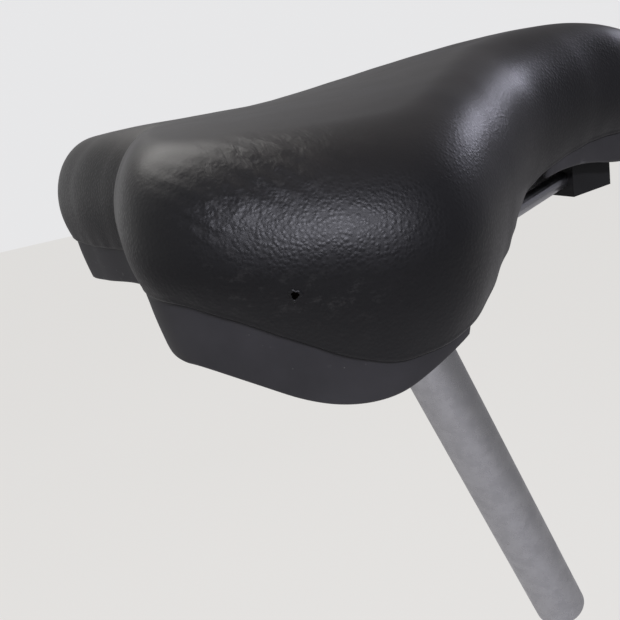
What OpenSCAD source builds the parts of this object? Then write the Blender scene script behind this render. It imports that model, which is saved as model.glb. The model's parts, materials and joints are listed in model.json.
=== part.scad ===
// Padded bicycle saddle on its seat post, with a two-sided rail clamp.
// Frame: the origin is on the post's axis where the post enters a bicycle frame.
// +X is forward, +Y is the rider's left, +Z is up.

/* [Saddle] */
// Length from the rear lobes to the nose
saddle_l = 266; // [236:1:300]
// Width across the wings
saddle_w = 216; // [186:1:250]
// Thickness of the foam over the middle of the base
foam_t = 26; // [20:1:30]
// Thickness of the foam at the very front of the nose
foam_nose_t = 12; // [9:1:14]
// Thickness of the padding down the sides
wall_t = 8; // [6:0.5:9]
// Thickness of the base pan
pan_t = 3; // [2:0.25:3.5]
// Thickness of the moulded skirt and nose bumper
trim_t = 2.5; // [2:0.25:3]
// Drop of the crown from the middle to the sides, first part and outer part
crown_drop = 7.8; // [5:0.2:10]
crown_curl = 4.6; // [2:0.2:6]

/* [Rails] */
// Diameter of the rail wire
rail_d = 7; // [6:0.5:8]
// Distance between the rails' centre lines at the clamp
rail_gap = 44; // [40:1:50]
// Distance between the rails' centre lines at the nose
rail_nose_gap = 14; // [12:1:16]
// Height of the rails above the clamp bolt
rail_up = 12; // [11:0.5:14]
// Radius of the bends in the rails
rail_bend_r = 22; // [18:1:30]

/* [Springs] */
// Distance of the springs from the rear of the saddle
spring_x = 40; // [38:1:46]
// Outside diameter of the coil springs
spring_d = 30; // [26:1:32]
// Diameter of the spring wire
spring_wire = 4.5; // [3.5:0.5:5]
// Turns in each spring
spring_turns = 4.5; // [3.5:0.5:5.5]
// Thickness of the pressed bridge that carries the springs
bridge_t = 2.5; // [2:0.25:4]
// Width of the bridge, front to back
bridge_w = 24; // [20:1:26]
// Diameter of the bolt through each spring
spring_bolt_d = 6; // [5:0.5:8]

/* [Seat post] */
// Diameter of the post in the frame
post_d = 25.4; // [25:0.2:31.6]
// Diameter of the reduced top that the clamp grips
post_top_d = 22.2; // [20:0.2:22.6]
// Wall of the post
post_wall = 1.7; // [1.2:0.1:2.5]
// Length of full-diameter post below the origin
post_down = 190; // [150:5:300]
// Lean of the post, from level
post_angle = 69; // [66:0.5:75]

/* [Clamp] */
// Distance from the origin up the post to the middle of the clamp band
band_up = 30; // [28:1:45]
// Height of the clamp band
band_h = 24; // [20:1:26]
// Wall of the clamp band
band_t = 2.5; // [2:0.25:2.5]
// Distance from the post's axis back to the clamp bolt
bolt_back = 20; // [20:0.5:24]
// Diameter of the clamp bolt
bolt_d = 8; // [6:0.5:8]
// Diameter of the cups that hold the rails
cup_d = 34; // [32:1:36]
// Thickness of each cup
cup_t = 6.6; // [5.5:0.2:7.5]
// Distance from the clamp bolt forward of the saddle's rear
bolt_from_rear = 88; // [80:1:96]
// Distance of the clamp bolt below the level of the saddle's top
bolt_below_top = 84; // [80:1:96]

/* [Hidden] */
$fn = 64;

left = 1;
right = -1;
seam = 0.75;       // gap between soft or curved faces that lie together
rim_gap = 0.6;     // gap between the cover's rim and the moulded trim under it
face_gap = 0.2;    // gap between flat faces of different bodies
fit_gap = 0.15;    // radial clearance of a bore around its bolt, rail or post
touch_gap = 0.1;   // gap where steel stands on steel

// Places that follow from the driving sizes
post_dir = [-cos(post_angle), 0, sin(post_angle)];
post_back = [-sin(post_angle), 0, -cos(post_angle)];
bolt_at = band_up * post_dir + bolt_back * post_back;
saddle_at = bolt_at + [-bolt_from_rear, 0, bolt_below_top];
rail_z = rail_up - bolt_below_top;
half_w = saddle_w / 2;

// Outline of the cover at its widest level, from the notch between the rear lobes,
// around the right wing, to the nose: share of the length, share of the half width.
// A smooth curve runs through these stations, and each size below changes in ramps
// from one numbered station to another.
PLAN = [
    [0.045, 0], [0.03, -0.15], [0.005, -0.4], [0.005, -0.72], [0.13, -0.93], [0.28, -1],
    [0.43, -0.74], [0.58, -0.45], [0.73, -0.31], [0.85, -0.26], [0.95, -0.18], [1, 0]
];
// Run and drop of the rounded shoulder at the rear, the wings and the nose
rear_run = 26;
wing_run = 32;
nose_run = 17;
rear_drop = 25;
wing_drop = 30;
nose_drop = 14;
// Height of the rim, and how far the side tucks under there
rear_rim = -48;
wing_rim = -73;
nose_rim = -42;
rear_tuck = 2;
side_tuck = 4;
// Depth of the moulded trim below the rim
notch_skirt = 15;
lobe_skirt = 20;
side_trim = 5;
bumper_deep = 10;
// Height of the crown along the middle: the rear, the rise to the front, the fall at the nose
crown_rear = -7;
crown_rise = 11;
nose_fall = 26;
// Shares of the length at which sections through the notch and the nose meet the middle
notch_meets = 0.20;
nose_meets = 0.86;
meets_step = 0.01;     // least step from one station to the next
steps = 5;             // points along each span of the outline

// Stations at which the moulded trim ends
skirt_end = 5.2;
bumper_start = 8.0;

function blend(a, b, c, d, t) =
    0.5 * (2 * b + (c - a) * t + (2 * a - 5 * b + 4 * c - d) * t * t
    + (3 * b - a - 3 * c + d) * t * t * t);
function ramp(t, from, to) = let (u = max(0, min(1, (t - from) / (to - from)))) u * u * (3 - 2 * u);
function flip(s) = [for (i = [0:len(s) - 1]) i == 1 ? -s[i] : s[i]];
last = len(PLAN) - 1;
function row(i) = i < 0 ? flip(PLAN[-i]) : i > last ? flip(PLAN[2 * last - i]) : PLAN[i];

// Everything at one station: share of the length, share of the half width, run and drop
// of the shoulder, height of the rim, tuck, depth of the trim, share at the middle line
function station(t) =
    let (i = min(floor(t), last - 1), edge = blend(row(i - 1), row(i), row(i + 1), row(i + 2), t - i))
    [
        edge[0],
        edge[1],
        rear_run + (wing_run - rear_run) * ramp(t, 2.5, 5.5) + (nose_run - wing_run) * ramp(t, 5.5, last),
        rear_drop + (wing_drop - rear_drop) * ramp(t, 2.5, 5) + (nose_drop - wing_drop) * ramp(t, 8, last),
        rear_rim + (wing_rim - rear_rim) * ramp(t, 3, 4.6) + (nose_rim - wing_rim) * ramp(t, 4.4, 8.4),
        rear_tuck + (side_tuck - rear_tuck) * ramp(t, 3, 5),
        notch_skirt + (lobe_skirt - notch_skirt) * ramp(t, 1, 3.5)
            + (side_trim - lobe_skirt) * ramp(t, 4, 5.2) + (bumper_deep - side_trim) * ramp(t, 8, 9.5),
        notch_meets + meets_step * t + (nose_meets - notch_meets - meets_step * last) * ramp(t, 3, last)
    ];

function crown_line(x) =
    let (u = x / saddle_l)
    crown_rear + crown_rise * ramp(u, 0.25, 0.72) - nose_fall * pow(max(0, (u - 0.7) / 0.3), 2.3);
function crown(x, y) =
    crown_line(x) - crown_drop * pow(y / half_w, 2) - crown_curl * pow(y / half_w, 4);
function foam_at(x) =
    let (u = max(0, min(1, (x / saddle_l - 0.74) / 0.24)))
    foam_t + (foam_nose_t - foam_t) * u * u * (3 - 2 * u);

// Height of the underside of the base pan
function pan_under(x, y) = crown(x, y) - foam_at(x) - seam - pan_t;

// Outline stations all the way round, right side first, then the left side mirrored
SIDE = [for (k = [0:last * steps]) station(k / steps)];
around = 2 * last * steps;
RING = [for (k = [0:around - 1]) k <= last * steps ? SIDE[k] : flip(SIDE[around - k])];
function ring(k) = RING[(k + around) % around];
function plan(s) = [s[0] * saddle_l, s[1] * half_w];
function unit(v) = v / norm(v);
function outward(k) = let (t = unit(plan(ring(k + 1)) - plan(ring(k - 1)))) [t[1], -t[0]];

// One section, from the middle line out over the shoulder and down to the rim. With
// lined false it is the outside; with lined true it lies under the foam, with extra
// more at the top. It is inset by a at the sides. flat, curl and wall are point counts.
function section(k, a, lined, extra, flat, curl, wall) =
    let (
        s = ring(k),
        n = outward(k),
        edge = plan(s) - a * n,
        start = [s[7] * saddle_l, 0],
        reach = norm(edge - start),
        way = (edge - start) / reach,
        run = min(max(s[2] - a, 4), 0.9 * reach),
        level = function (r) let (p = start + r * way)
            [p[0], p[1], crown(p[0], p[1]) - (lined ? foam_at(p[0]) + extra : 0)],
        drop = lined ? max(s[3] - foam_t + wall_t, 6) - extra : s[3],
        brow = level(reach)[2] - drop
    )
    concat(
        [for (q = [0:flat - 1]) level((reach - run) * q / flat)],
        [for (q = [0:curl]) let (w = 90 * q / curl)
            level(reach - run + run * sin(w)) - [0, 0, drop * (1 - cos(w))]],
        [for (q = [1:wall]) let (w = q / wall, p = edge - s[5] * w * w * n)
            [p[0], p[1], brow + (s[4] - brow) * w]]
    );

// Closed body whose sections meet at the middle line, above and below
module shell(sections) {
    m = len(sections[0]);
    function id(k, j) = let (kk = k % around)
        ((j == 0 || j == m - 1) && kk > around / 2 ? around - kk : kk) * m + j;
    points = [for (s = sections) each s];
    // each quad is split so that no triangle lies flat in the middle plane
    faces = [for (k = [0:around - 1], j = [0:m - 2])
        each (k % (around / 2) < around / 4) == (j < m / 2)
            ? [[id(k, j), id(k + 1, j), id(k + 1, j + 1)], [id(k, j), id(k + 1, j + 1), id(k, j + 1)]]
            : [[id(k, j), id(k + 1, j), id(k, j + 1)], [id(k + 1, j), id(k + 1, j + 1), id(k, j + 1)]]];
    polyhedron(points, faces, convexity = 8);
}

// Strip of moulded trim: a closed profile carried along the rim from one station to
// another. The profile is a flange under the rim and a wall that leans in as it drops.
flange_w = 12;
lean = 4;          // how far the deepest wall leans in
lean_depth = 30;   // the depth that gives the whole lean
function trim_profile(k) =
    let (
        s = ring(k),
        n = outward(k),
        deep = max(s[6], trim_t + 1),
        spot = function (inset, down)
            let (p = plan(s) - (s[5] + inset) * n) [p[0], p[1], s[4] - rim_gap - down],
        slope = function (w) 2 + lean * pow(w, 1.5) * min(1, deep / lean_depth)
    )
    concat(
        [for (w = [0, 0.35, 0.7, 1]) spot(slope(w), deep * w)],
        [for (w = [1, 0.7]) spot(slope(w) + trim_t, deep * w)],
        [spot(slope(0) + trim_t, min(trim_t, 0.7 * deep))],
        [spot(slope(0) + flange_w, min(trim_t, 0.7 * deep)), spot(slope(0) + flange_w, 0)]
    );
module trim(from, to) {
    rows = [for (k = [from:to]) trim_profile(k)];
    m = len(rows[0]);
    n = len(rows);
    sides = [for (i = [0:n - 2], j = [0:m - 1])
        each [
            [i * m + j, (i + 1) * m + j, (i + 1) * m + (j + 1) % m],
            [i * m + j, (i + 1) * m + (j + 1) % m, i * m + (j + 1) % m]
        ]];
    ends = [[for (j = [0:m - 1]) j], [for (j = [m - 1:-1:0]) (n - 1) * m + j]];
    polyhedron([for (r = rows) each r], concat(sides, ends), convexity = 8);
}

// Places its children in the frame of three unit vectors at a point
module placed(x, y, z, p) {
    multmatrix([
        [x[0], y[0], z[0], p[0]],
        [x[1], y[1], z[1], p[1]],
        [x[2], y[2], z[2], p[2]],
        [0, 0, 0, 1]
    ]) children();
}

// Round wire along +X that bends up by an angle and runs on straight
wire_sides = 20;
bend_parts = 6;
module bent_wire(level, angle, slope, d, r) {
    bend = function (w) [level + r * sin(w), r * (1 - cos(w)), w];
    path = concat([[0, 0, 0]], [for (q = [0:bend_parts]) bend(angle * q / bend_parts)],
        [[level + r * sin(angle) + slope * cos(angle), r * (1 - cos(angle)) + slope * sin(angle), angle]]);
    points = [for (p = path, j = [0:wire_sides - 1])
        let (v = 360 * j / wire_sides, up = d / 2 * sin(v))
        [p[0] - up * sin(p[2]), d / 2 * cos(v), p[1] + up * cos(p[2])]];
    n = len(path);
    sides = [for (i = [0:n - 2], j = [0:wire_sides - 1])
        let (a = i * wire_sides + j, b = i * wire_sides + (j + 1) % wire_sides)
        each [[a, a + wire_sides, b + wire_sides], [a, b + wire_sides, b]]];
    ends = [[for (j = [0:wire_sides - 1]) j],
        [for (j = [wire_sides - 1:-1:0]) (n - 1) * wire_sides + j]];
    polyhedron(points, concat(sides, ends), convexity = 4);
}
module past_bend(angle, r) {
    translate([r * sin(angle), 0, r * (1 - cos(angle))]) rotate([0, -angle, 0]) children();
}
function hundredths(v) = round(100 * v) / 100;
function tenths(v) = round(10 * v) / 10;

// A cylinder along Y between two distances from the middle plane, on one side
module cross_disc(side, near, far, d) {
    translate([0, side * near, 0]) rotate([side * -90, 0, 0]) cylinder(h = far - near, d = d);
}

// ---- Saddle ----

module in_saddle() { translate(saddle_at) children(); }

module cover() {
    color("#26262a") in_saddle() shell([for (k = [0:around - 1])
        let (inner = section(k, wall_t, true, 0, 4, 3, 2), m = len(inner))
        concat(section(k, 0, false, 0, 7, 6, 3), [for (j = [m - 1:-1:0]) inner[j]])]);
}

module base_pan() {
    color("#202022") in_saddle() shell([for (k = [0:around - 1])
        let (
            top = section(k, wall_t + seam, true, seam, 4, 3, 2),
            under = section(k, wall_t + seam + pan_t, true, seam + pan_t, 4, 3, 2),
            m = len(under)
        )
        concat(top, [for (j = [m - 1:-1:0]) under[j]])]);
}

module rear_skirt() {
    reach = floor(skirt_end * steps);
    color("#2b2b2e") in_saddle() trim(-reach, reach);
}

module nose_bumper() {
    reach = floor((last - bumper_start) * steps);
    color("#2b2b2e") in_saddle() trim(last * steps - reach, last * steps + reach);
}

// Each rail runs level through the clamp, then rises and closes in to the nose socket
rail_rear_x = spring_x - bridge_w / 2 - 2;
rail_rise_x = 0.50 * saddle_l;
socket_x = 0.74 * saddle_l;
socket_l = 26;
socket_z = -58;
socket_skin = 3.5;
rail_run = socket_x + socket_l / 2 - rail_rise_x;
rail_lift = socket_z - rail_z;
rail_close = (rail_gap - rail_nose_gap) / 2;
rail_angle = tenths(atan2(norm([rail_lift, rail_close]), rail_run));
rail_roll = tenths(atan2(rail_close, rail_lift));
rail_cut = rail_bend_r * tan(rail_angle / 2);
rail_level = hundredths(rail_rise_x - rail_rear_x - rail_cut);
rail_slope = hundredths((socket_x + socket_l - socket_skin - 1 - rail_rise_x) / cos(rail_angle)
    - rail_cut);
module in_rail(side) {
    mirror([0, side > 0 ? 1 : 0, 0]) translate([rail_rear_x, -rail_gap / 2, rail_z])
        rotate([-rail_roll, 0, 0]) children();
}
module rail(side) {
    color("#b9bcc0") in_saddle() in_rail(side)
        bent_wire(rail_level, rail_angle, rail_slope, rail_d, rail_bend_r);
}

// Moulded block under the nose that the rails' front ends plug into, with a neck that
// stands up to the pan
neck_back = 5;
neck_w = 14;
neck_gap = 0.7;
function rail_y(x) = rail_gap / 2 - rail_close * (x - rail_rise_x) / rail_run;
module nose_bracket() {
    front_x = socket_x + socket_l;
    edge = rail_d / 2 + socket_skin;
    tall = 2 * edge + rail_lift * socket_l / rail_run;
    neck_top = min(pan_under(socket_x + neck_back, neck_w / 2),
        pan_under(front_x - neck_back, neck_w / 2)) - neck_gap;
    color("#222224") in_saddle() difference() {
        union() {
            translate([0, 0, socket_z - tall / 2]) linear_extrude(tall) polygon([
                [socket_x, -rail_y(socket_x) - edge], [front_x, -rail_y(front_x) - edge],
                [front_x, rail_y(front_x) + edge], [socket_x, rail_y(socket_x) + edge]
            ]);
            translate([socket_x + neck_back, -neck_w / 2, socket_z])
                cube([socket_l - 2 * neck_back, neck_w, neck_top - socket_z]);
        }
        for (side = [left, right])
            in_rail(side) translate([rail_level, 0, 0]) past_bend(rail_angle, rail_bend_r)
                rotate([0, 90, 0]) cylinder(h = rail_slope + 0.5, d = rail_d + 2 * touch_gap);
    }
}

module rail_left() { rail(left); }
module rail_right() { rail(right); }

// Bridge that lies under the rails' rear ends and carries a spring near each end
spring_y = 0.26 * saddle_w;
bridge_top = rail_z - rail_d / 2 - touch_gap;
bridge_end_r = spring_d / 2 + 1;
module rear_bridge() {
    color("#8f9296") in_saddle() translate([spring_x, 0, bridge_top - bridge_t]) difference() {
        linear_extrude(bridge_t) union() {
            translate([-bridge_w / 2, -spring_y]) square([bridge_w, 2 * spring_y]);
            for (side = [left, right]) translate([0, side * spring_y]) circle(r = bridge_end_r);
        }
        for (side = [left, right])
            translate([0, side * spring_y, -1]) cylinder(h = bridge_t + 2, d = spring_bolt_d + 2 * fit_gap);
        translate([0, 0, -1]) cylinder(h = bridge_t + 2, d = 0.4 * bridge_w);
    }
}

// Moulded seat between each spring and the pan, with a boss down inside the coil
seat_t = 4;
seat_gap = 0.8;
seat_r = spring_d / 2 + 1.5;
boss_l = 14;
seat_top = pan_under(spring_x, spring_y + seat_r) - seat_gap;
seat_under = seat_top - seat_t;
module spring_seat(side) {
    color("#222224") in_saddle() translate([spring_x, side * spring_y, 0]) difference() {
        union() {
            translate([0, 0, seat_under]) cylinder(h = seat_t, r = seat_r);
            translate([0, 0, seat_under - boss_l])
                cylinder(h = boss_l + 1, d = spring_d - 2 * spring_wire - 2);
        }
        translate([0, 0, seat_under - boss_l - 1])
            cylinder(h = boss_l + seat_t, d = spring_bolt_d + 2 * fit_gap);
    }
}
module spring_seat_left() { spring_seat(left); }
module spring_seat_right() { spring_seat(right); }

// Coil spring with its end turns closed, standing between the bridge and its seat
spring_sides = 8;
spring_facets = 20;
module spring(side) {
    low = bridge_top + touch_gap + spring_wire / 2;
    high = seat_under - touch_gap - spring_wire / 2;
    r = (spring_d - spring_wire) / 2;
    rings = spring_turns * spring_facets;
    rise = function (t) let (u = max(0, min(1, (t * spring_turns - 0.75) / (spring_turns - 1.5))))
        low + spring_wire * 0.9 * min(1, t * spring_turns / 0.75)
        + (high - low - 1.8 * spring_wire) * u
        + spring_wire * 0.9 * max(0, (t * spring_turns - spring_turns + 0.75) / 0.75);
    points = [for (i = [0:rings], j = [0:spring_sides - 1])
        let (a = 360 * i / spring_facets, b = 360 * j / spring_sides, q = r + spring_wire / 2 * cos(b))
        [q * cos(a), side * q * sin(a), rise(i / rings) + spring_wire / 2 * sin(b)]];
    turn = side > 0;
    sides = [for (i = [0:rings - 1], j = [0:spring_sides - 1])
        let (a = i * spring_sides + j, b = i * spring_sides + (j + 1) % spring_sides,
            c = b + spring_sides, d = a + spring_sides)
        each turn ? [[a, d, c], [a, c, b]] : [[a, c, d], [a, b, c]]];
    first = [for (j = [0:spring_sides - 1]) j];
    end = [for (j = [0:spring_sides - 1]) rings * spring_sides + j];
    back = function (f) [for (j = [len(f) - 1:-1:0]) f[j]];
    caps = turn ? [first, back(end)] : [back(first), end];
    color("#a9acb0") in_saddle() translate([spring_x, side * spring_y, 0])
        polyhedron(points, concat(sides, caps), convexity = 8);
}
module spring_left() { spring(left); }
module spring_right() { spring(right); }

// Bolt up through the bridge and the spring into the seat's boss
head_share = 1.7;   // across corners of a head or nut, as a share of its thread
module spring_bolt(side) {
    head_h = 0.65 * spring_bolt_d;
    under = bridge_top - bridge_t - touch_gap;
    color("#8f9296") in_saddle() translate([spring_x, side * spring_y, under]) {
        translate([0, 0, -head_h]) cylinder(h = head_h, d = head_share * 1.1 * spring_bolt_d, $fn = 6);
        translate([0, 0, -1]) cylinder(h = seat_under - 3 - under + 1, d = spring_bolt_d);
    }
}
module spring_bolt_left() { spring_bolt(left); }
module spring_bolt_right() { spring_bolt(right); }

// ---- Clamp ----

// Cups sit either side of each rail, with half the rail's groove in each
cup_split = 0.6;
module cup(side, inner) {
    mid = rail_gap / 2;
    near = inner ? mid - cup_split / 2 - cup_t : mid + cup_split / 2;
    color("#9b9ea3") translate(bolt_at) difference() {
        cross_disc(side, near, near + cup_t, cup_d);
        cross_disc(side, near - 1, near + cup_t + 1, bolt_d + 2 * fit_gap);
        translate([-cup_d, side * mid, rail_up]) rotate([0, 90, 0])
            cylinder(h = 2 * cup_d, d = rail_d + 2 * fit_gap);
    }
}
module inner_cup_left() { cup(left, true); }
module inner_cup_right() { cup(right, true); }
module outer_cup_left() { cup(left, false); }
module outer_cup_right() { cup(right, false); }

// ---- Post ----

// Carries its children from the post's own frame: +Z up the post, -X back to the bolt
module along_post() { placed(-post_back, [0, 1, 0], post_dir, [0, 0, 0]) children(); }

cone_from = 5;
cone_h = 8;
post_top = band_up + band_h / 2 + 2;
module seat_post() {
    color("#b9bcc0") along_post() rotate_extrude() polygon([
        [post_d / 2 - post_wall, -post_down],
        [post_d / 2, -post_down],
        [post_d / 2, cone_from],
        [post_top_d / 2, cone_from + cone_h],
        [post_top_d / 2, post_top],
        [post_top_d / 2 - post_wall, post_top],
        [post_top_d / 2 - post_wall, cone_from + cone_h],
        [post_d / 2 - post_wall, cone_from]
    ]);
}

// Split band around the post, with an ear and a toothed boss on each side of the bolt
ear_t = 3;
ear_in = 7;
boss_out = rail_gap / 2 - cup_split / 2 - cup_t - face_gap;
module clamp_band() {
    bore = post_top_d + 2 * fit_gap;
    wide = bore + 2 * band_t;
    color("#9b9ea3") along_post() translate([0, 0, band_up]) difference() {
        union() {
            translate([0, 0, -band_h / 2]) cylinder(h = band_h, d = wide);
            for (side = [left, right]) {
                translate([-bolt_back, 0, 0]) cross_disc(side, ear_in, ear_in + ear_t, band_h);
                translate([-bolt_back, side > 0 ? ear_in : -ear_in - ear_t, -band_h / 2])
                    cube([bolt_back - 3, ear_t, band_h]);
                translate([-bolt_back, 0, 0]) cross_disc(side, ear_in + 1, boss_out, band_h);
            }
        }
        translate([0, 0, -band_h]) cylinder(h = 2 * band_h, d = bore);
        translate([-bolt_back, 0, 0]) rotate([90, 0, 0])
            cylinder(h = 2 * rail_gap, d = bolt_d + 2 * fit_gap, center = true);
        translate([-bolt_back, -ear_in / 2, -band_h]) cube([bolt_back - 3, ear_in, 2 * band_h]);
    }
}

washer_t = 1.6;
nut_h = 0.8 * bolt_d;
cup_out = rail_gap / 2 + cup_split / 2 + cup_t;
washer_in = cup_out + face_gap;
nut_in = washer_in + washer_t + touch_gap;
thread_out = 4;
module clamp_bolt() {
    color("#a9acb0") translate(bolt_at) {
        cross_disc(right, 0, nut_in + 1, bolt_d);
        cross_disc(left, 0, nut_in + nut_h + thread_out, bolt_d);
        translate([0, -nut_in, 0]) rotate([90, 0, 0])
            cylinder(h = nut_h, d = head_share * 1.08 * bolt_d, $fn = 6);
    }
}
module clamp_nut() {
    color("#a9acb0") translate(bolt_at) difference() {
        translate([0, nut_in, 0]) rotate([-90, 0, 0])
            cylinder(h = nut_h, d = head_share * 1.08 * bolt_d, $fn = 6);
        cross_disc(left, nut_in - 1, nut_in + nut_h + 1, bolt_d + touch_gap);
    }
}
module bolt_washer(side) {
    color("#a9acb0") translate(bolt_at) difference() {
        cross_disc(side, washer_in, washer_in + washer_t, 2.2 * bolt_d);
        cross_disc(side, washer_in - 1, washer_in + washer_t + 1, bolt_d + 2 * fit_gap);
    }
}
module bolt_washer_left() { bolt_washer(left); }
module bolt_washer_right() { bolt_washer(right); }

cover();
base_pan();
rear_skirt();
nose_bumper();
nose_bracket();
rail_left();
rail_right();
rear_bridge();
spring_left();
spring_right();
spring_seat_left();
spring_seat_right();
spring_bolt_left();
spring_bolt_right();
inner_cup_left();
inner_cup_right();
outer_cup_left();
outer_cup_right();
seat_post();
clamp_band();
clamp_bolt();
clamp_nut();
bolt_washer_left();
bolt_washer_right();
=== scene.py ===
# %% [markdown]
# # A worn bicycle saddle
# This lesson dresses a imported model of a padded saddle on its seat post. The frame gives
# the real sizes and the moving bodies; here each visible surface gets its own shape and
# finish. Everything is in metres: +X runs to the nose, +Y to the rider's left, +Z up.

# %% Load the frame
import bpy
import bmesh
import json
import math
import numpy as np
from mathutils import Matrix, Vector, noise


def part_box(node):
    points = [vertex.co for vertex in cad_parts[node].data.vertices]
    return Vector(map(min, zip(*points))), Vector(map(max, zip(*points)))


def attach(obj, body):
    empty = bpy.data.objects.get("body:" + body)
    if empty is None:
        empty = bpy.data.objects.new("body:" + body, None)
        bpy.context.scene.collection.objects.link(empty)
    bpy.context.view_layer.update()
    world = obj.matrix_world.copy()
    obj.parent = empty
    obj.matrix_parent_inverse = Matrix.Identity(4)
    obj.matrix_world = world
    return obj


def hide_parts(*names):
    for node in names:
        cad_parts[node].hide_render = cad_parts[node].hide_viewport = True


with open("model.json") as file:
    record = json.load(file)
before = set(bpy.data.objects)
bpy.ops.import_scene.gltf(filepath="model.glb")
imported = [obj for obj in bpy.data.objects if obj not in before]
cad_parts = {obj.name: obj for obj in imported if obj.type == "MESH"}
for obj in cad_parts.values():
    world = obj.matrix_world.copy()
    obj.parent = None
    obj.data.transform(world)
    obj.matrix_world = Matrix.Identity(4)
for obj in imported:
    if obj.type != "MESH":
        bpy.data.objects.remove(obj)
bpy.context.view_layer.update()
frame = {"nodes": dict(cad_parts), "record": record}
MM = 0.001

# %% [markdown]
# ## Where the saddle sits
# The saddle's own corner is the rear of its lobes at the level of its top. It could be
# typed in as a place, but then it would be wrong as soon as the clamp moved. The clamp bolt
# lies a known way in from the corner, so the tilt joint's place gives it.

# %% Find the saddle's corner
joints = {joint["name"]: joint for joint in frame["record"]["behaviour"]["joints"]}
bolt_at = np.array(joints["saddle_tilt"]["pos_m"])
BOLT_FROM_REAR, BOLT_BELOW_TOP = 88, 84    # in millimetres
saddle_at = bolt_at + np.array([-BOLT_FROM_REAR, 0, BOLT_BELOW_TOP]) * MM
print("saddle corner at", saddle_at.round(4))

# %% [markdown]
# ## Camera
# A close, wide view from behind the right side, a little above the saddle and rolled, as
# someone leaning over it would see it. An aim constraint could turn the camera, but it
# can't roll it, so the three directions are worked out from three angles. The camera comes
# first, so that every later choice can be judged in its view.

# %% Set up the camera
CAMERA_AT = np.array([-35.3, -266.0, 0.5]) * MM + saddle_at
AZIMUTH, ELEVATION, ROLL = (math.radians(a) for a in (-22.4, 17.0, 9.8))
FIELD_OF_VIEW = 44.4

back = Vector((
    math.sin(AZIMUTH) * math.cos(ELEVATION),
    -math.cos(AZIMUTH) * math.cos(ELEVATION),
    math.sin(ELEVATION),
))
level = Vector((math.cos(AZIMUTH), math.sin(AZIMUTH), 0))
upright = back.cross(level)
right = level * math.cos(ROLL) - upright * math.sin(ROLL)
up = level * math.sin(ROLL) + upright * math.cos(ROLL)

camera = bpy.data.objects.new("camera", bpy.data.cameras.new("camera"))
bpy.context.collection.objects.link(camera)
camera.data.angle = math.radians(FIELD_OF_VIEW)
camera.matrix_world = Matrix.Translation(CAMERA_AT) @ Matrix((right, up, back)).transposed().to_4x4()
camera.data.clip_start = 0.01
bpy.context.scene.camera = camera
print("lens", round(camera.data.lens, 1), "mm")

# %% [markdown]
# ## Helpers for materials
# A finish starts from a Principled shader with its plain values set on the sockets. The
# nodes that vary it could be wired by hand each time, at five lines a node. Short helpers
# add them one by one instead, so that a finish below reads as a list of what it has.

# %% Start a finish
def start_finish(name, colour, roughness, metallic=0.0, **sockets):
    finish = bpy.data.materials.new(name)
    finish.use_nodes = True
    tree = finish.node_tree
    shader = tree.nodes["Principled BSDF"]
    shader.inputs["Base Color"].default_value = (*colour, 1)
    shader.inputs["Roughness"].default_value = roughness
    shader.inputs["Metallic"].default_value = metallic
    for socket, value in sockets.items():
        shader.inputs[socket.replace("_", " ")].default_value = value
    return finish, tree, shader


print("helper: start_finish")


# %% Add a node, with its values and its links
def put(tree, kind, values=None, links=None, **settings):
    node = tree.nodes.new("ShaderNode" + kind)
    for setting, value in settings.items():
        setattr(node, setting, value)
    for socket, value in (values or {}).items():
        node.inputs[socket].default_value = value
    for socket, source in (links or {}).items():
        tree.links.new(source, node.inputs[socket])
    return node


print("helper: put")


# %% Shape a value with a ramp, mix two colours, do sums
def ramp(tree, value, stops):
    node = put(tree, "ValToRGB", links={"Fac": value})
    keys = node.color_ramp.elements
    while len(keys) < len(stops):
        keys.new(0.5)
    for key, (place, shade) in zip(keys, stops):
        key.position = place
        key.color = (*shade, 1) if isinstance(shade, tuple) else (shade, shade, shade, 1)
    return node.outputs["Color"]


def mix(tree, factor, first, second):
    node = put(tree, "MixRGB")
    for socket, value in (("Fac", factor), ("Color1", first), ("Color2", second)):
        if isinstance(value, bpy.types.NodeSocket):
            tree.links.new(value, node.inputs[socket])
        else:
            node.inputs[socket].default_value = value if socket == "Fac" else (*value, 1)
    return node.outputs["Color"]


def sums(tree, operation, first, second):
    node = put(tree, "Math", operation=operation)
    for index, value in enumerate((first, second)):
        if isinstance(value, bpy.types.NodeSocket):
            tree.links.new(value, node.inputs[index])
        else:
            node.inputs[index].default_value = value
    return node.outputs[0]


print("helpers: ramp, mix, sums")


# %% Textures in the object's own metres
def place(tree, stretch=(1, 1, 1), turn=(0, 0, 0)):
    where = put(tree, "TexCoord").outputs["Object"]
    if stretch == (1, 1, 1) and turn == (0, 0, 0):
        return where
    return put(tree, "Mapping", {"Scale": stretch, "Rotation": turn}, {"Vector": where}).outputs[0]


def cloud(tree, where, scale, detail=3.0, roughness=0.5, warp=0.0):
    values = {"Scale": scale, "Detail": detail, "Roughness": roughness, "Distortion": warp}
    return put(tree, "TexNoise", values, {"Vector": where}).outputs["Fac"]


def cells(tree, where, scale):
    return put(tree, "TexVoronoi", {"Scale": scale}, {"Vector": where}).outputs["Distance"]


def bump(tree, shader, height, strength, distance, below=None):
    links = {"Height": height}
    if below is not None:
        links["Normal"] = below
    node = put(tree, "Bump", {"Strength": strength, "Distance": distance}, links)
    tree.links.new(node.outputs[0], shader.inputs["Normal"])
    return node.outputs[0]


print("helpers: place, cloud, cells, bump")
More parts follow.
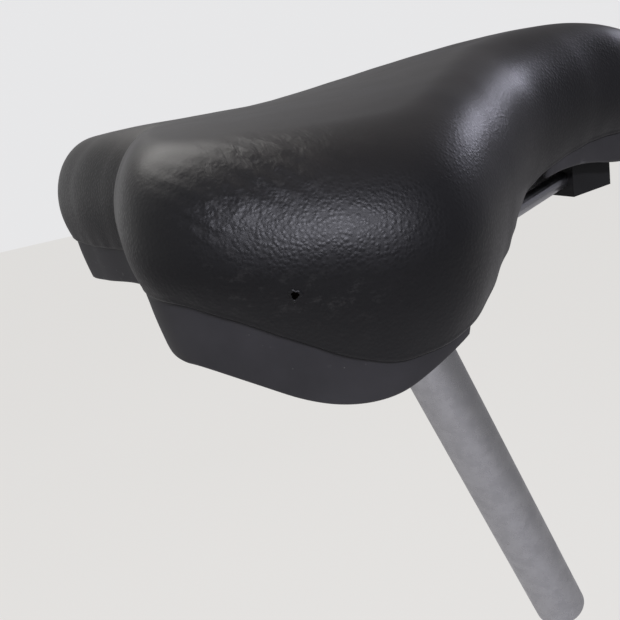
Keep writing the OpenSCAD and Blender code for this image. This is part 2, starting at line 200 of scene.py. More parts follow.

# %% [markdown]
# ## The vinyl
# The cover is black vinyl with a pebbled grain a little over a millimetre across. Where
# a rider sits, the grain is pressed smooth, and the up-facing top is painted a brownish
# grey: partly a little dust and skin oil, partly a painted sheen that stands for the pale
# reflection on the top. An image of leather would stretch over the lobes, so the grain is made of
# cells in the object's own space, pushed about by noise so that no two are alike. Each
# vertex holds how worn, rubbed and creased it is, so the finish follows the saddle when it
# tilts, and the grain fades as the wear rises.

# %% Mix the vinyl finish
def make_vinyl():
    finish, tree, shader = start_finish(
        "worn_vinyl", (0.02, 0.02, 0.021), 0.42, Specular_IOR_Level=0.42,
        Sheen_Weight=0.05, Sheen_Roughness=0.5, Sheen_Tint=(0.9, 0.86, 0.82, 1))
    here = place(tree)
    worn_and_sheen = put(tree, "Attribute", attribute_name="wear_and_sheen").outputs["Fac"]
    rubbed = put(tree, "Attribute", attribute_name="rub").outputs["Fac"]
    creased = put(tree, "Attribute", attribute_name="crease").outputs["Fac"]
    blotch = cloud(tree, here, 34, 4, 0.55)
    fine = cloud(tree, here, 900, 3, 0.6)
    # Painted sheen with dust: the up-facing top is lightened to a brownish grey.
    dust_and_sheen = sums(tree, "MULTIPLY", worn_and_sheen, ramp(tree, blotch, [(0.3, 0.45), (0.72, 1.0)]))
    colour = mix(tree, dust_and_sheen, (0.0072, 0.0070, 0.0080), (0.024, 0.0213, 0.0195))
    specks = ramp(tree, cells(tree, here, 260), [(0.0, 1.0), (0.045, 0.0)])
    rare = ramp(tree, cloud(tree, here, 55, 2), [(0.62, 0.0), (0.70, 0.7)])
    colour = mix(tree, sums(tree, "MULTIPLY", specks, rare), colour, (0.12, 0.115, 0.11))
    smear = ramp(tree, cloud(tree, place(tree, (1, 1, 1.6)), 260, 5, 0.75), [(0.54, 0.0), (0.72, 1.0)])
    colour = mix(tree, sums(tree, "MULTIPLY", smear, rubbed), colour, (0.055, 0.053, 0.052))
    tree.links.new(colour, shader.inputs["Base Color"])

    warped = put(tree, "VectorMath", operation="ADD")
    drift = put(tree, "TexNoise", {"Scale": 320, "Detail": 2}, {"Vector": here}).outputs["Color"]
    small = put(tree, "VectorMath", {1: (0.0008,) * 3}, {0: drift}, operation="MULTIPLY").outputs[0]
    tree.links.new(here, warped.inputs[0])
    tree.links.new(small, warped.inputs[1])
    pebbles = ramp(tree, cells(tree, warped.outputs[0], 880), [(0.12, 1.0), (0.66, 0.0)])
    left_over = sums(tree, "SUBTRACT", 1.0, sums(tree, "MULTIPLY", worn_and_sheen, 0.90))
    uneven = ramp(tree, blotch, [(0.35, 0.55), (0.65, 1.0)])
    grain = sums(tree, "MULTIPLY", pebbles, sums(tree, "MULTIPLY", left_over, uneven))
    dents = bump(tree, shader, blotch, 0.22, 0.0007)
    dents = bump(tree, shader, grain, 0.42, 0.00013, dents)
    wrinkles = cloud(tree, place(tree, (1, 0.14, 1), (0.5, 0.35, 0.6)), 330, 2, 0.5, 0.3)
    dents = bump(tree, shader, sums(tree, "MULTIPLY", wrinkles, creased), 0.7, 0.0008, dents)
    bump(tree, shader, fine, 0.16, 0.00005, dents)

    valleys = sums(tree, "MULTIPLY", ramp(tree, grain, [(0.0, 0.08), (0.8, 0.0)]), left_over)
    patch = ramp(tree, blotch, [(0.30, 0.29), (0.70, 0.37)])
    rough = sums(tree, "ADD", patch, valleys)
    rough = sums(tree, "ADD", rough, sums(tree, "MULTIPLY", worn_and_sheen, 0.10))
    tree.links.new(rough, shader.inputs["Roughness"])
    return finish


vinyl = make_vinyl()
print("made", vinyl.name)

# %% [markdown]
# ## The moulded plastics
# The skirt and bumper are smooth black polypropylene: darker than the vinyl, with long
# fine scratches and a few pale specks of paint or plaster. The pan underneath is the same
# stuff straight from a sand-blasted mould, so it is duller and has an even fine grain. Two
# finishes could be written out, but they differ only in a few values, so one function
# makes both.

# %% Mix the plastic finishes
def make_plastic(name, colour, roughness, grain, scratched):
    finish, tree, shader = start_finish(name, colour, roughness, Specular_IOR_Level=0.4)
    here = place(tree)
    haze = cloud(tree, here, 30, 4, 0.6)
    shade = mix(tree, ramp(tree, haze, [(0.35, 0.0), (0.75, 0.7)]), colour,
        tuple(1.9 * c + 0.003 for c in colour))
    long_way = place(tree, (26, 210, 150), (0.2, 0.55, 0.1))
    lines = ramp(tree, cloud(tree, long_way, 2.2, 4, 0.65), [(0.63, 0.0), (0.66, 1.0)])
    where = ramp(tree, cloud(tree, here, 24, 2), [(0.48, 0.0), (0.62, 1.0)])
    lines = sums(tree, "MULTIPLY", lines, sums(tree, "MULTIPLY", where, scratched))
    shade = mix(tree, lines, shade, (0.14, 0.14, 0.14))
    dots = ramp(tree, cells(tree, here, 170), [(0.0, 1.0), (0.05, 0.0)])
    rare = ramp(tree, cloud(tree, here, 48, 2), [(0.58, 0.0), (0.66, 1.0)])
    shade = mix(tree, sums(tree, "MULTIPLY", dots, rare), shade, (0.32, 0.31, 0.29))
    tree.links.new(shade, shader.inputs["Base Color"])
    under = bump(tree, shader, cloud(tree, here, 1500, 2), grain, 0.00006)
    bump(tree, shader, lines, 0.4, -0.00008, under)
    rough = ramp(tree, haze, [(0.3, roughness - 0.05), (0.75, roughness + 0.09)])
    tree.links.new(rough, shader.inputs["Roughness"])
    return finish


skirt_plastic = make_plastic("smooth_black_plastic", (0.033, 0.032, 0.035), 0.46, 0.12, 1.0)
pan_plastic = make_plastic("dull_black_plastic", (0.008, 0.008, 0.0085), 0.58, 0.5, 0.3)
print("made", skirt_plastic.name, "and", pan_plastic.name)

# %% [markdown]
# ## The steels
# Plated steel is a metal whose shine varies: rubbed bright in places, dulled by handling
# in others, with brown freckles where the plating has let go. The post has marks along it
# from being pushed up and down in its tube. Marks could be cut into the mesh, but they are
# finer than its faces, so a noise drawn out along the part gives them as a bump.

# %% Mix the steel finishes
def make_steel(name, colour, roughness, freckles, drawn=(1, 1, 1), turn=(0, 0, 0)):
    finish, tree, shader = start_finish(name, colour, roughness, 1.0)
    here = place(tree)
    dull = cloud(tree, here, 140, 5, 0.6)
    drawn_lines = cloud(tree, place(tree, drawn, turn), 1200, 2, 0.5)
    shade = mix(tree, ramp(tree, dull, [(0.35, 0.0), (0.8, 0.8)]), colour,
        tuple(0.78 * c for c in colour))
    spots = ramp(tree, cloud(tree, here, 420, 4, 0.7), [(0.64, 0.0), (0.70, 1.0)])
    groups = ramp(tree, cloud(tree, here, 45, 3), [(0.50, 0.0), (0.62, 1.0)])
    brown = sums(tree, "MULTIPLY", sums(tree, "MULTIPLY", spots, groups), freckles)
    shade = mix(tree, brown, shade, (0.12, 0.055, 0.028))
    tree.links.new(shade, shader.inputs["Base Color"])
    tree.links.new(sums(tree, "SUBTRACT", 1.0, brown), shader.inputs["Metallic"])
    rough = ramp(tree, dull, [(0.3, roughness - 0.06), (0.75, roughness + 0.14)])
    rough = sums(tree, "ADD", rough, sums(tree, "MULTIPLY", brown, 0.4))
    tree.links.new(rough, shader.inputs["Roughness"])
    under = bump(tree, shader, drawn_lines, 0.12, 0.00004)
    bump(tree, shader, brown, 0.5, 0.00006, under)
    return finish


steels = {
    "rail_steel": make_steel("rail_wire", (0.56, 0.56, 0.58), 0.30, 0.7, (0.08, 1, 1)),
    "spring_steel": make_steel("spring_wire", (0.40, 0.40, 0.42), 0.40, 1.0),
    "plated_steel": make_steel("zinc_plate", (0.50, 0.50, 0.50), 0.42, 0.8),
    "post_steel": make_steel("post_plate", (0.60, 0.60, 0.62), 0.24, 0.5, (1, 1, 0.05), (0, -0.366, 0)),
}
print("made", len(steels), "steels")

# %% [markdown]
# ## The saddle's outline
# A saddle could be pushed into shape from a subdivided box, but its notch and its rim need
# to stay crisp, so its shape is a set of sections around its edge. Twelve stations say
# where the edge is at its widest, and a smooth curve runs through them. The shoulder, the
# rim and the skirt then change in gentle ramps from one numbered station to another.

# %% Write down the outline
LENGTH, HALF_WIDTH = 266 * MM, 108 * MM
PLAN = np.array([
    [0.045, 0], [0.03, -0.15], [0.005, -0.4], [0.005, -0.72], [0.13, -0.93], [0.28, -1],
    [0.43, -0.74], [0.58, -0.43], [0.73, -0.31], [0.85, -0.26], [0.95, -0.18], [1, 0],
]) * np.array([LENGTH, HALF_WIDTH])
X, Y, RUN, DROP, RIM, TUCK, DEEP, MIDDLE = range(8)
LAST = len(PLAN) - 1
MIRROR = np.array([1, -1])
print("outline", round(float(PLAN[:, X].max()), 3), "by", round(-2 * float(PLAN[:, Y].min()), 3))

# %% Name the sizes at the rear, the wings and the nose, in millimetres
REAR_RUN, WING_RUN, NOSE_RUN = 26, 32, 17       # run of the rounded shoulder
REAR_DROP, WING_DROP, NOSE_DROP = 25, 30, 14    # drop of the rounded shoulder
REAR_RIM, WING_RIM, NOSE_RIM = -48, -73, -42    # height of the rim
REAR_TUCK, SIDE_TUCK = 2, 4                     # how far the side tucks under at the rim
NOTCH_SKIRT, LOBE_SKIRT, SIDE_TRIM, BUMPER_DEEP = 15, 20, 5, 14
NOTCH_MEETS, NOSE_MEETS, MEETS_STEP = 0.20, 0.86, 0.01    # shares of the length


def ramp_up(t, start, stop):
    """Smooth rise from 0 at start to 1 at stop."""
    u = np.clip((t - start) / (stop - start), 0, 1)
    return u * u * (3 - 2 * u)


def curve_through(points, t):
    """Smooth curve through evenly spaced points; t counts points from the second one."""
    i = np.clip(np.floor(t).astype(int), 0, len(points) - 4)
    a, b, c, d = (points[i + k] for k in range(4))
    u = (t - i).reshape(-1, *([1] * (points.ndim - 1)))
    return 0.5 * (2 * b + (c - a) * u + (2 * a - 5 * b + 4 * c - d) * u**2
        + (3 * b - a - 3 * c + d) * u**3)


def sections(t):
    """Edge and sizes at places t: 0 is the notch, LAST the nose, and less than 0 the left side."""
    t = (t + LAST) % (2 * LAST) - LAST
    edge = curve_through(np.vstack([PLAN[1] * MIRROR, PLAN, PLAN[-2] * MIRROR]), np.abs(t))
    edge[:, Y] *= np.where(t < 0, -1, 1)
    t = np.abs(t)
    run = (REAR_RUN + (WING_RUN - REAR_RUN) * ramp_up(t, 2.5, 5.5)
        + (NOSE_RUN - WING_RUN) * ramp_up(t, 5.5, LAST))
    drop = (REAR_DROP + (WING_DROP - REAR_DROP) * ramp_up(t, 2.5, 5)
        + (NOSE_DROP - WING_DROP) * ramp_up(t, 8, LAST))
    rim = (REAR_RIM + (WING_RIM - REAR_RIM) * ramp_up(t, 3, 4.6)
        + (NOSE_RIM - WING_RIM) * ramp_up(t, 4.4, 8.4))
    tuck = REAR_TUCK + (SIDE_TUCK - REAR_TUCK) * ramp_up(t, 3, 5)
    deep = (NOTCH_SKIRT + (LOBE_SKIRT - NOTCH_SKIRT) * ramp_up(t, 1, 3.5)
        + (SIDE_TRIM - LOBE_SKIRT) * ramp_up(t, 3.7, 5.1)
        + (BUMPER_DEEP - SIDE_TRIM) * ramp_up(t, 7.2, 9))
    meets = NOSE_MEETS - NOTCH_MEETS - MEETS_STEP * LAST
    middle = LENGTH * (NOTCH_MEETS + MEETS_STEP * t + meets * ramp_up(t, 3, LAST))
    return np.column_stack([edge, MM * run, MM * drop, MM * rim, MM * tuck, MM * deep, middle])


print("rim at the notch and the nose", sections(np.array([0.0, LAST]))[:, RIM].round(3))

# %% [markdown]
# ## Crown and foam
# The seat dips at the rear, rises towards the nose and falls away at its tip. A painted
# height map could hold this, but a short formula is smooth at every step of the mesh. The
# foam is thick under the rider and thins towards the nose.


# %% Height of the crown, and of the foam over the pan
CROWN_REAR, CROWN_RISE, NOSE_FALL = -7 * MM, 11 * MM, 26 * MM
CROWN_DROP, CROWN_CURL = 7.8 * MM, 4.6 * MM
FOAM, NOSE_FOAM, WALL, SEAM, PAN = 26 * MM, 12 * MM, 8 * MM, 0.75 * MM, 3 * MM


def crown(x, y):
    along, across = x / LENGTH, y / HALF_WIDTH
    rise = CROWN_RISE * ramp_up(along, 0.25, 0.72)
    fall = NOSE_FALL * np.clip((along - 0.7) / 0.3, 0, None)**2.3
    return CROWN_REAR + rise - fall - CROWN_DROP * across**2 - CROWN_CURL * across**4


def foam(x):
    return FOAM + (NOSE_FOAM - FOAM) * ramp_up(x / LENGTH, 0.74, 0.98)


print("crown height at the middle", crown(np.array([0.12]), np.array([0.0])).round(4))

# %% [markdown]
# ## From sections to surfaces
# One function carries a section all the way round. It goes out from the middle line, over
# the shoulder and down the wall to the rim. The same function, set in from the outside,
# gives the inside of the foam and both faces of the pan, so that they nest by themselves.

# %% Carry a section round the outline
def loop(count):
    """Places round the whole outline: from the notch, along the right side, and back."""
    return np.concatenate([np.linspace(0, LAST, count + 1)[:-1], -np.linspace(LAST, 0, count + 1)[:-1]])


def outward(rows):
    edge = rows[:, [X, Y]]
    along = np.roll(edge, -1, 0) - np.roll(edge, 1, 0)
    along /= np.linalg.norm(along, axis=1)[:, None]
    return np.stack([along[:, 1], -along[:, 0]], 1)


def skin(rows, inset, lined, extra, flat, curl, wall):
    """Grid of points, section by section, each from the middle line to the rim."""
    away = outward(rows)
    edge = rows[:, [X, Y]] - inset * away
    start = np.stack([rows[:, MIDDLE], 0 * rows[:, X]], 1)
    reach = np.linalg.norm(edge - start, axis=1)
    way = (edge - start) / reach[:, None]
    run = np.minimum(np.maximum(rows[:, RUN] - inset, 4 * MM), 0.9 * reach)
    drop = np.maximum(rows[:, DROP] - FOAM + WALL, 6 * MM) - extra if lined else rows[:, DROP]

    def on_top(distance):
        p = start + way * distance[:, None]
        height = crown(p[:, 0], p[:, 1]) - (foam(p[:, 0]) + extra if lined else 0)
        return np.column_stack([p, height])

    grid = [on_top((reach - run) * q) for q in np.linspace(0, 1, flat, endpoint=False)]
    for w in np.radians(np.linspace(0, 90, curl + 1)):
        grid.append(on_top(reach - run + run * math.sin(w))
            - np.outer(drop * (1 - math.cos(w)), [0, 0, 1]))
    brow = grid[-1][:, 2]
    for w in np.linspace(0, 1, wall + 1)[1:]:
        p = edge - away * (rows[:, TUCK] * w * w)[:, None]
        grid.append(np.column_stack([p, brow + (rows[:, RIM] - brow) * w]))
    return np.stack(grid, 1)


print("places round a loop of 8 a side:", len(loop(8)))

# %% [markdown]
# A grid of points becomes a mesh with one face between each four neighbours. Where sections
# meet at the middle line their points coincide, so doubles are merged before the normals
# are worked out. Each mesh goes straight to its material slot.

# %% Turn a grid of points into a mesh
def mesh_object(name, points, faces, finish):
    mesh = bpy.data.meshes.new(name)
    mesh.from_pydata([tuple(p) for p in points], [], faces)
    work = bmesh.new()
    work.from_mesh(mesh)
    bmesh.ops.remove_doubles(work, verts=work.verts, dist=1e-6)
    bmesh.ops.recalc_face_normals(work, faces=work.faces)
    work.to_mesh(mesh)
    work.free()
    mesh.materials.append(finish)
    mesh.polygons.foreach_set("use_smooth", [True] * len(mesh.polygons))
    piece = bpy.data.objects.new(name, mesh)
    bpy.context.collection.objects.link(piece)
    return piece


def grid_faces(count, width, closed_count, closed_width):
    faces = []
    for i in range(count if closed_count else count - 1):
        for j in range(width if closed_width else width - 1):
            k, m = (i + 1) % count, (j + 1) % width
            faces.append((i * width + j, k * width + j, k * width + m, i * width + m))
    return faces


def capped_faces(count, width):
    """Faces of a strip of closed rings, with a flat face at each end."""
    first, last = range(width), range((count - 1) * width, count * width)
    return grid_faces(count, width, False, True) + [tuple(first), tuple(last)[::-1]]


print("helpers: mesh_object, grid_faces, capped_faces")

# %% [markdown]
# ## The cover
# The cover is the piece that everyone looks at. Foam and vinyl have no flat stretch: the
# seat sags a little, the skin puckers where it is pulled round the rim, and the edge rolls
# under. A cloth run would lose the sharp notch between the lobes, so the surface is worked
# in code, as a sculptor would: the fine grid of sections, then soft dents, then
# creases, each a small push along the surface's own normal.

# %% Measure which way the surface faces
def grid_normals(grid):
    along = np.roll(grid, -1, 0) - np.roll(grid, 1, 0)
    across = np.gradient(grid, axis=1)
    away = np.cross(along, across)
    size = np.linalg.norm(away, axis=2, keepdims=True)
    away = away / np.maximum(size, 1e-12)
    middle = np.array([0.45 * LENGTH, 0, -60 * MM])
    facing = np.sign((away * (grid - middle)).sum(2, keepdims=True))
    return away * np.where(facing == 0, 1, facing)


def rumple(grid, scale, seed):
    """Smooth random numbers from -1 to 1 over the grid, the same on every run."""
    shift = Vector((seed * 3.1, seed * 1.7, seed * 0.9))
    flat = grid.reshape(-1, 3)
    return np.array([noise.noise(Vector(p) * scale + shift) for p in flat]).reshape(grid.shape[:2])


def bell(distance, width):
    return np.exp(-(distance / width) ** 2)


def near(grid, at, size):
    """1 at a place on the cover, fading to 0 over about its size, both in millimetres."""
    away = (grid - np.array(at) * MM) / (np.array(size) * MM)
    return np.exp(-(away**2).sum(-1))


print("a bell one width away", round(bell(1, 1), 2))

# %% Shape the outside of the cover
AROUND = 280
places = loop(AROUND)
rows = sections(places)
FLAT, CURL, WALL_ROWS = 26, 26, 30
outside = skin(rows, 0, False, 0, FLAT, CURL, WALL_ROWS)
normals = grid_normals(outside)
row_number = np.arange(outside.shape[1])
down_wall = np.clip((row_number - FLAT - CURL) / WALL_ROWS, 0, 1)[None, :]
ring_place = places[:, None]

sag = 0.5 * MM * rumple(outside, 22, 1) + 0.14 * MM * rumple(outside, 75, 2)
puckers = 0.10 * MM * np.sin(ring_place * 17 + 3 * rumple(outside, 30, 3)) * bell(1 - down_wall, 0.30)
print("cover starts as a grid of", outside.shape[:2])

# %% [markdown]
# High on the right wing the skin has crept into slanting folds above a worn hollow. They could be sculpted with a brush, but a stroke can't be repeated, so each is a
# wave that fades out with distance from its place.

# %% Add the folds and the worn hollow
across = (outside @ np.array([0.75, 0.15, 0.64])) / MM
UPPER_FOLDS, LOWER_FOLDS = (34, -86, -18), (14, -84, -24)
wave = np.sin(across * 1.15 + 1.2 * rumple(outside, 60, 4))
folds = 0.35 * MM * wave * near(outside, UPPER_FOLDS, (15, 12, 9))
wave = np.sin(across * 1.5 + 1.5 * rumple(outside, 80, 5))
folds += 0.22 * MM * wave * near(outside, LOWER_FOLDS, (9, 12, 10))
worn_hollow = -0.9 * MM * near(outside, (24, -90, -34), (16, 20, 9))
off_middle = (row_number > 0)[None, :, None]
outside = outside + normals * (sag + puckers + folds + worn_hollow)[:, :, None] * off_middle
print("deepest push inwards", round(float((sag + puckers + folds + worn_hollow).min()) / MM, 2), "mm")

# %% [markdown]
# The rim isn't a cut edge: the vinyl wraps a thin wire of foam and disappears inside. A
# quarter round closes the grid there, and the inside surface brings it back to the middle.
# On the right rear lobe the edge has lifted from the skirt and leaves a dark gap.

# %% Roll the rim and close the cover
def rim_roll(outer, rows, radius, turns):
    away = outward(rows)
    inward = np.column_stack([-away, 0 * rows[:, X]])
    return np.stack([
        outer[:, -1] + inward * radius * (1 - math.cos(a)) - np.array([0, 0, radius * 0.55 * math.sin(2 * a)])
        for a in np.radians(np.linspace(0, 90, turns + 1)[1:])
    ], 1)


LIFTED = 2.45    # place on the outline where the edge has lifted
LIFT, ROLL_RADIUS = 1.9 * MM, 2.2 * MM
outside[:, :, 2] += LIFT * bell(places - LIFTED, 0.45)[:, None] * down_wall**2
roll = rim_roll(outside, rows, ROLL_RADIUS, 5)
inside = skin(rows, WALL, True, 0, 8, 5, 4)[:, ::-1]
cover_grid = np.concatenate([outside, roll, inside], 1) + saddle_at
cover = mesh_object("padded_cover", cover_grid.reshape(-1, 3),
    grid_faces(len(places), cover_grid.shape[1], True, False), vinyl)
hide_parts("cover")
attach(cover, "saddle")
print("cover faces", len(cover.data.polygons))

# %% [markdown]
# Wear is a number on each vertex. The top is worn where a rider sits, and the flanks keep
# their grain. In the vinyl the same number lightens the top to a brownish grey, partly dust
# and partly a painted sheen. Scuffs gather on the right wing, where the saddle has been leant
# on walls, and creases at its folds. Vertex paint by hand would do, but it can't be rerun, so the
# numbers come from which way the surface faces and how near it lies to a few places.

# %% Paint the wear, with its painted sheen, and the scuffs and creases
def paint(piece, name, values):
    layer = piece.data.attributes.new(name, "FLOAT", "POINT")
    layer.data.foreach_set("value", np.clip(values, 0, 1).astype(np.float32))


def vertex_array(piece):
    points = np.empty(3 * len(piece.data.vertices))
    piece.data.vertices.foreach_get("co", points)
    facing = np.empty(3 * len(piece.data.vertices))
    piece.data.vertices.foreach_get("normal", facing)
    return points.reshape(-1, 3) - saddle_at, facing.reshape(-1, 3)


points, facing = vertex_array(cover)
patchy = np.array([noise.noise(Vector(p) * 30) for p in points])
# Up-facing wear; the vinyl also uses it to paint the top's sheen into its colour.
wear_and_sheen = np.clip((facing[:, 2] - 0.50) / 0.35 + 0.22 * patchy, 0, 1)
rub = (0.8 * near(points, (26, -90, -25), (22, 16, 9)) + 0.55 * near(points, (40, -102, -52), (14, 20, 7))
    + 0.5 * near(points, (18, -94, -46), (12, 14, 12)) + 0.25 * patchy)
crease = near(points, UPPER_FOLDS, (20, 13, 10)) + 0.5 * near(points, LOWER_FOLDS, (14, 12, 10))
paint(cover, "wear_and_sheen", wear_and_sheen)
paint(cover, "rub", rub)
paint(cover, "crease", crease)
print("worn share", round(float(wear_and_sheen.mean()), 2))

# %% [markdown]
# A small puncture on the right wing, where something sharp went in: a raised, frayed lip
# round a pit of painted shade, a near-black disc with no shine that stands for the dark
# inside of the hole. A hole could be cut with a boolean, but that would leave long thin
# faces in the smooth cover. Two small ring meshes stand on it instead, at the nearest
# vertex and turned to face out.

# %% Add the puncture
def ring_mesh(name, radii, heights, sides, finish):
    """Ragged rings, one above or inside another, with radii and heights in millimetres."""
    rings = []
    for radius, height in zip(radii, heights):
        turn = np.linspace(0, 2 * np.pi, sides, endpoint=False)
        ragged = 1 + 0.16 * np.sin(3 * turn + 1) + 0.10 * np.sin(7 * turn + 2)
        rings.append(np.stack([radius * ragged * np.cos(turn), radius * ragged * np.sin(turn),
            height + 0 * turn], 1))
    rings = np.stack(rings) * MM
    return mesh_object(name, rings.reshape(-1, 3), capped_faces(len(radii), sides), finish)


def make_hole_shade_finish():
    # Painted shade: near-black with no shine, standing for the dark inside of the hole.
    finish, tree, shader = start_finish(
        "painted_hole_shade", (0.001, 0.0009, 0.0008), 0.9, Specular_IOR_Level=0.0)
    hole_shade_noise = cloud(tree, place(tree), 3000, 3, 0.7)
    shade = ramp(tree, hole_shade_noise, [(0.4, (0.0004, 0.0004, 0.0004)), (0.75, (0.004, 0.003, 0.002))])
    tree.links.new(shade, shader.inputs["Base Color"])
    bump(tree, shader, hole_shade_noise, 0.6, 0.0002)
    return finish


def stand_on_cover(piece, at):
    spot = int(np.argmin(((points / MM - np.array(at)) ** 2).sum(1)))
    piece.location = points[spot] + saddle_at
    piece.rotation_mode = "QUATERNION"
    piece.rotation_quaternion = Vector(facing[spot]).to_track_quat("Z", "Y")
    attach(piece, "saddle")


PUNCTURE = (31, -99, -50)
lip = ring_mesh("puncture_lip",
    [0.95, 0.95, 1.15, 1.40, 1.75, 1.75, 0.95], [-0.3, 0.22, 0.34, 0.24, 0.02, -0.4, -0.4],
    26, vinyl)
# The pit is a small disc of painted shade inside the lip.
hole_shade = ring_mesh("puncture_hole_shade",
    [0.30, 0.90, 1.10, 1.10, 0.30], [0.18, 0.21, 0.24, -0.3, -0.3],
    22, make_hole_shade_finish())
for piece in (lip, hole_shade):
    stand_on_cover(piece, PUNCTURE)
print("puncture at", [round(v, 3) for v in hole_shade.location])

# %% [markdown]
# ## Skirt and bumper
# Both are strips of one profile: a flange under the rim and a wall that leans in as it
# drops, with a full round at its foot, as plastic comes from a mould. A bevelled curve has
# one profile all along, and this wall's depth changes, so the profile is walked along part
# of the outline point by point. A flat face closes each end.

# %% Walk the profile along the rim
RIM_GAP, TRIM, FLANGE = 0.6 * MM, 2.5 * MM, 12 * MM
LEAN, LEAN_DEPTH, LEAD = 4 * MM, 30 * MM, 1.4 * MM
NUDGE = 0.02      # a short way along the outline, to see which way it runs
SKIRT_END, BUMPER_START = 5.2, 7.4


def trim_strip(name, places, finish):
    rows = sections(places)
    step = (sections(places + NUDGE) - sections(places - NUDGE))[:, [X, Y]]
    along = step / np.linalg.norm(step, axis=1)[:, None]
    away = np.stack([along[:, 1], -along[:, 0]], 1)
    deep = np.maximum(rows[:, DEEP], TRIM + MM)

    def spot(inset, down):
        p = rows[:, [X, Y]] - away * (rows[:, TUCK] + inset)[:, None]
        return np.column_stack([p, rows[:, RIM] - RIM_GAP - down])

    def slope(w):
        return LEAD + LEAN * w**1.5 * np.minimum(1, deep / LEAN_DEPTH)

    foot = TRIM / 2
    wall = deep - foot
    profile = [spot(slope(0) + 0.4 * MM, 0 * deep)]
    profile += [spot(slope(w), wall * w) for w in np.linspace(0.02, 1, 14)]
    profile += [spot(slope(1) + foot * (1 - math.cos(a)), wall + foot * math.sin(a))
        for a in np.radians([30, 60, 90, 120, 150, 180])]
    under = np.minimum(TRIM, 0.4 * deep)
    profile += [spot(slope(w) + TRIM, np.maximum(wall * w, under + 0.4 * MM))
        for w in (0.8, 0.55, 0.3)]
    profile += [spot(slope(0) + TRIM + MM, under), spot(slope(0) + FLANGE, under)]
    profile += [spot(slope(0) + FLANGE, 0 * deep)]
    grid = np.stack(profile, 1) + saddle_at
    strip = mesh_object(name, grid.reshape(-1, 3), capped_faces(*grid.shape[:2]), finish)
    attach(strip, "saddle")
    return strip


skirt = trim_strip("spring_skirt", np.linspace(-SKIRT_END, SKIRT_END, 260), skirt_plastic)
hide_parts("rear_skirt")
print("skirt faces", len(skirt.data.polygons))

# %% [markdown]
# The bumper runs round the nose from one side to the other. It could be a half, mirrored,
# but that leaves a seam at the tip. Places past the nose count back along the other side,
# so it is the same walk over a different stretch.

# %% Make the bumper
bumper_places = np.linspace(BUMPER_START, 2 * LAST - BUMPER_START, 170)
bumper = trim_strip("front_bumper", bumper_places, skirt_plastic)
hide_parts("nose_bumper")
print("bumper faces", len(bumper.data.polygons))

# %% [markdown]
# ## The pan
# The pan is the saddle's floor: a thin shell that follows the foam. It shows from below.
# The CAD solid could be smoothed, but its facets would then bulge at the rim, so the pan is
# made again from the same sections at a finer step.

# %% Make the pan
pan_places = loop(110)
pan_rows = sections(pan_places)
pan_top = skin(pan_rows, WALL + SEAM, True, SEAM, 10, 6, 4)
pan_under = skin(pan_rows, WALL + SEAM + PAN, True, SEAM + PAN, 10, 6, 4)[:, ::-1]
pan_grid = np.concatenate([pan_top, pan_under], 1) + saddle_at
pan = mesh_object("floor_pan", pan_grid.reshape(-1, 3),
    grid_faces(len(pan_places), pan_grid.shape[1], True, False), pan_plastic)
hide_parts("base_pan")
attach(pan, "saddle")
print("pan faces", len(pan.data.polygons))

# %% [markdown]
# ## Springs
# A coil is a circle that climbs. Its first and last turns lie nearly flat, so that the
# spring stands square, and the turns between share the rest of the height. A screw modifier
# climbs evenly from end to end, so the points are worked out instead.

# %% Wind the springs
def coil_points(low, high, radius, wire, turns, steps):
    t = np.linspace(0, turns, int(turns * steps) + 1)
    closed = 0.75
    between = np.clip((t - closed) / (turns - 2 * closed), 0, 1)
    start = 0.9 * wire * np.minimum(1, t / closed)
    end = 0.9 * wire * np.clip((t - turns + closed) / closed, 0, 1)
    height = low + start + (high - low - 1.8 * wire) * between + end
    return np.stack([radius * np.cos(2 * np.pi * t), radius * np.sin(2 * np.pi * t), height], 1)


def tube(path, radius, sides):
    """Rings of points round a path."""
    way = np.gradient(path, axis=0)
    way /= np.linalg.norm(way, axis=1)[:, None]
    side = np.cross(way, [0, 0, 1])
    side /= np.linalg.norm(side, axis=1)[:, None]
    over = np.cross(side, way)
    turn = np.linspace(0, 2 * np.pi, sides, endpoint=False)
    return (path[:, None] + radius * (side[:, None] * np.cos(turn)[None, :, None]
        + over[:, None] * np.sin(turn)[None, :, None]))


WIRE, COIL_RADIUS, COIL_TURNS = 4.5 * MM, 12.75 * MM, 4.5
COIL_FROM_REAR, COIL_OUT = 40 * MM, 0.26 * 2 * HALF_WIDTH


def make_spring(side_name, mirror):
    low, high = (np.array(c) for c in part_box("spring_" + side_name))
    path = coil_points(low[2] + WIRE / 2, high[2] - WIRE / 2, COIL_RADIUS, WIRE, COIL_TURNS, 56)
    path[:, 1] *= mirror
    path[:, :2] += [saddle_at[0] + COIL_FROM_REAR, saddle_at[1] + mirror * COIL_OUT]
    rings = tube(path, WIRE / 2, 14)
    spring = mesh_object("coil_" + side_name, rings.reshape(-1, 3), capped_faces(*rings.shape[:2]),
        steels["spring_steel"])
    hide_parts("spring_" + side_name)
    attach(spring, "saddle")
    print("coil at", ((low + high) / 2).round(3), "faces", len(spring.data.polygons))


make_spring("left", 1)
make_spring("right", -1)

# %% [markdown]
# ## The steel and moulded parts
# The rails, clamp, bridge and post have their right shape already. They could be modelled
# again, but then they might not fit as the CAD does, so they keep their place and gain the
# finish of their slot. Real edges are never knife sharp, so each gets a small bevel, apart
# from the rails, which are round wire.

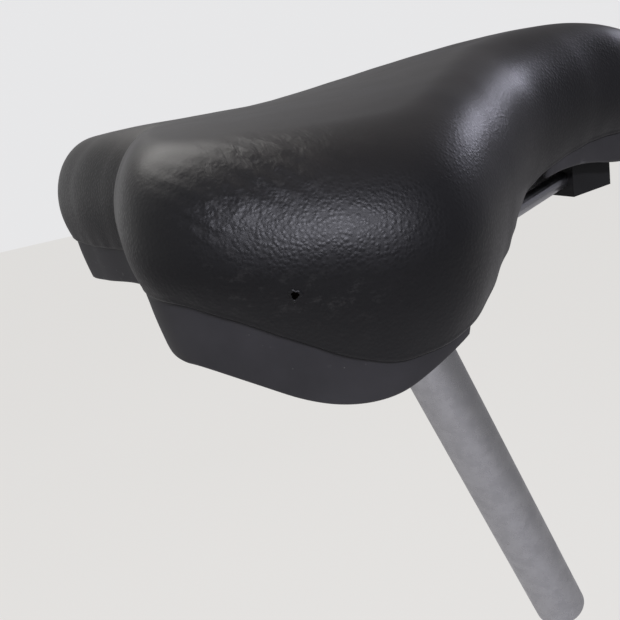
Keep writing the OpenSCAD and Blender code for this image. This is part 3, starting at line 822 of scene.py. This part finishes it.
# %% Dress the carried-over parts
slots = {part["node"]: part["material_slot"] for part in frame["record"]["subparts"]}
finishes = dict(steels, black_moulding=pan_plastic, skirt_moulding=skirt_plastic, cover_vinyl=vinyl)
ROUND_WIRES = ("rail_left", "rail_right")
EDGE = 0.35 * MM
for node_name, node in frame["nodes"].items():
    node.data.materials.clear()
    node.data.materials.append(finishes[slots[node_name]])
    if node_name not in ROUND_WIRES:
        bevel = node.modifiers.new("rounded_edges", "BEVEL")
        bevel.width = EDGE
        bevel.segments = 2
        bevel.limit_method = "ANGLE"
        bevel.angle_limit = math.radians(35)
print("dressed", len(frame["nodes"]), "nodes")

# %% [markdown]
# ## The floor
# The floor is pale and plain. More light would wash out the saddle before it made the
# floor pale, so most of the floor's brightness in view is its own glow, and the rest is a
# matt surface that still takes the saddle's shadow.

# %% Lay the floor
FLOOR_BELOW, HALF_FLOOR, GLOW = 0.80, 6, 0.80
corners = [(x * HALF_FLOOR, y * HALF_FLOOR, 0) for x, y in ((-1, -1), (1, -1), (1, 1), (-1, 1))]
floor_mesh = bpy.data.meshes.new("floor")
floor_mesh.from_pydata(corners, [], [(0, 1, 2, 3)])
floor = bpy.data.objects.new("floor", floor_mesh)
bpy.context.collection.objects.link(floor)
floor.location = (0, 0, -FLOOR_BELOW)
floor_finish, floor_tree, floor_shader = start_finish("pale_floor", (0.72, 0.71, 0.69), 0.8)
stain = cloud(floor_tree, place(floor_tree), 1.3, 4, 0.6)
shade = mix(floor_tree, stain, (0.70, 0.69, 0.67), (0.76, 0.75, 0.735))
floor_tree.links.new(shade, floor_shader.inputs["Base Color"])
glow = put(floor_tree, "Emission", {"Color": (0.87, 0.855, 0.835, 1), "Strength": 1.0})
seen = put(floor_tree, "LightPath")
pale = put(floor_tree, "MixShader", links={
    0: sums(floor_tree, "MULTIPLY", seen.outputs["Is Camera Ray"], GLOW),
    1: floor_shader.outputs[0], 2: glow.outputs[0]})
floor_tree.links.new(pale.outputs[0], floor_tree.nodes["Material Output"].inputs["Surface"])
floor_mesh.materials.append(floor_finish)
print("floor at", round(floor.location.z, 2))

# %% [markdown]
# ## Light
# On black, form shows only in highlights, so the lamps are placed for their reflections. A
# long, narrow window behind the camera draws the band along the shoulder, a small one in front
# catches the flank of the nose, and a wide one above the far side lights the top. Bare
# bulbs would give hard spots, and one big lamp would leave the black flat.

# %% Light the scene
def lamp(name, at, towards, size, power, colour=(1, 1, 1)):
    light = bpy.data.lights.new(name, "AREA")
    light.shape = "RECTANGLE"
    light.size, light.size_y = size
    light.energy = power
    light.color = colour
    holder = bpy.data.objects.new(name, light)
    bpy.context.collection.objects.link(holder)
    holder.location = at
    aim = Vector(towards) - Vector(at)
    holder.rotation_mode = "QUATERNION"
    holder.rotation_quaternion = aim.to_track_quat("-Z", "Y")


SADDLE = (-0.03, -0.05, 0.08)
lamp("window", (-0.22, -1.33, 0.84), SADDLE, (0.8, 0.12), 13, (0.88, 0.88, 1.0))
lamp("side_window", (1.32, 0.34, 0.56), SADDLE, (0.3, 0.3), 1.9, (0.84, 0.84, 1.0))
lamp("skylight", (-0.25, 0.85, 1.35), SADDLE, (1.0, 0.8), 9, (1.0, 0.98, 0.95))

# %% [markdown]
# The room around is dim on the near side and lighter on the far side, so that the cover's
# edges stand out. An image of a room could light it too, but would leave its own shapes in
# the reflections. Where the camera sees the room itself, it is an even pale grey.

# %% Put the saddle in a pale room
world = bpy.data.worlds.new("pale_room")
bpy.context.scene.world = world
world.use_nodes = True
sky = world.node_tree
shine = sky.nodes["Background"]
way = put(sky, "TexCoord").outputs["Generated"]
far = put(sky, "VectorMath", {1: (-0.75, 0.65, 0.10)}, {0: way}, operation="DOT_PRODUCT")
room = ramp(sky, sums(sky, "MULTIPLY_ADD", far.outputs["Value"], 0.5),
    [(0.0, (0.17, 0.17, 0.19)), (0.5, (0.20, 0.20, 0.215)),
        (0.75, (0.36, 0.36, 0.37)), (1.0, (0.5, 0.5, 0.5))])
seen = put(sky, "LightPath").outputs["Is Camera Ray"]
sky.links.new(mix(sky, seen, room, (0.80, 0.80, 0.81)), shine.inputs["Color"])
shine.inputs["Strength"].default_value = 1.0
bpy.context.scene.view_settings.view_transform = "Standard"
print("view transform:", bpy.context.scene.view_settings.view_transform)
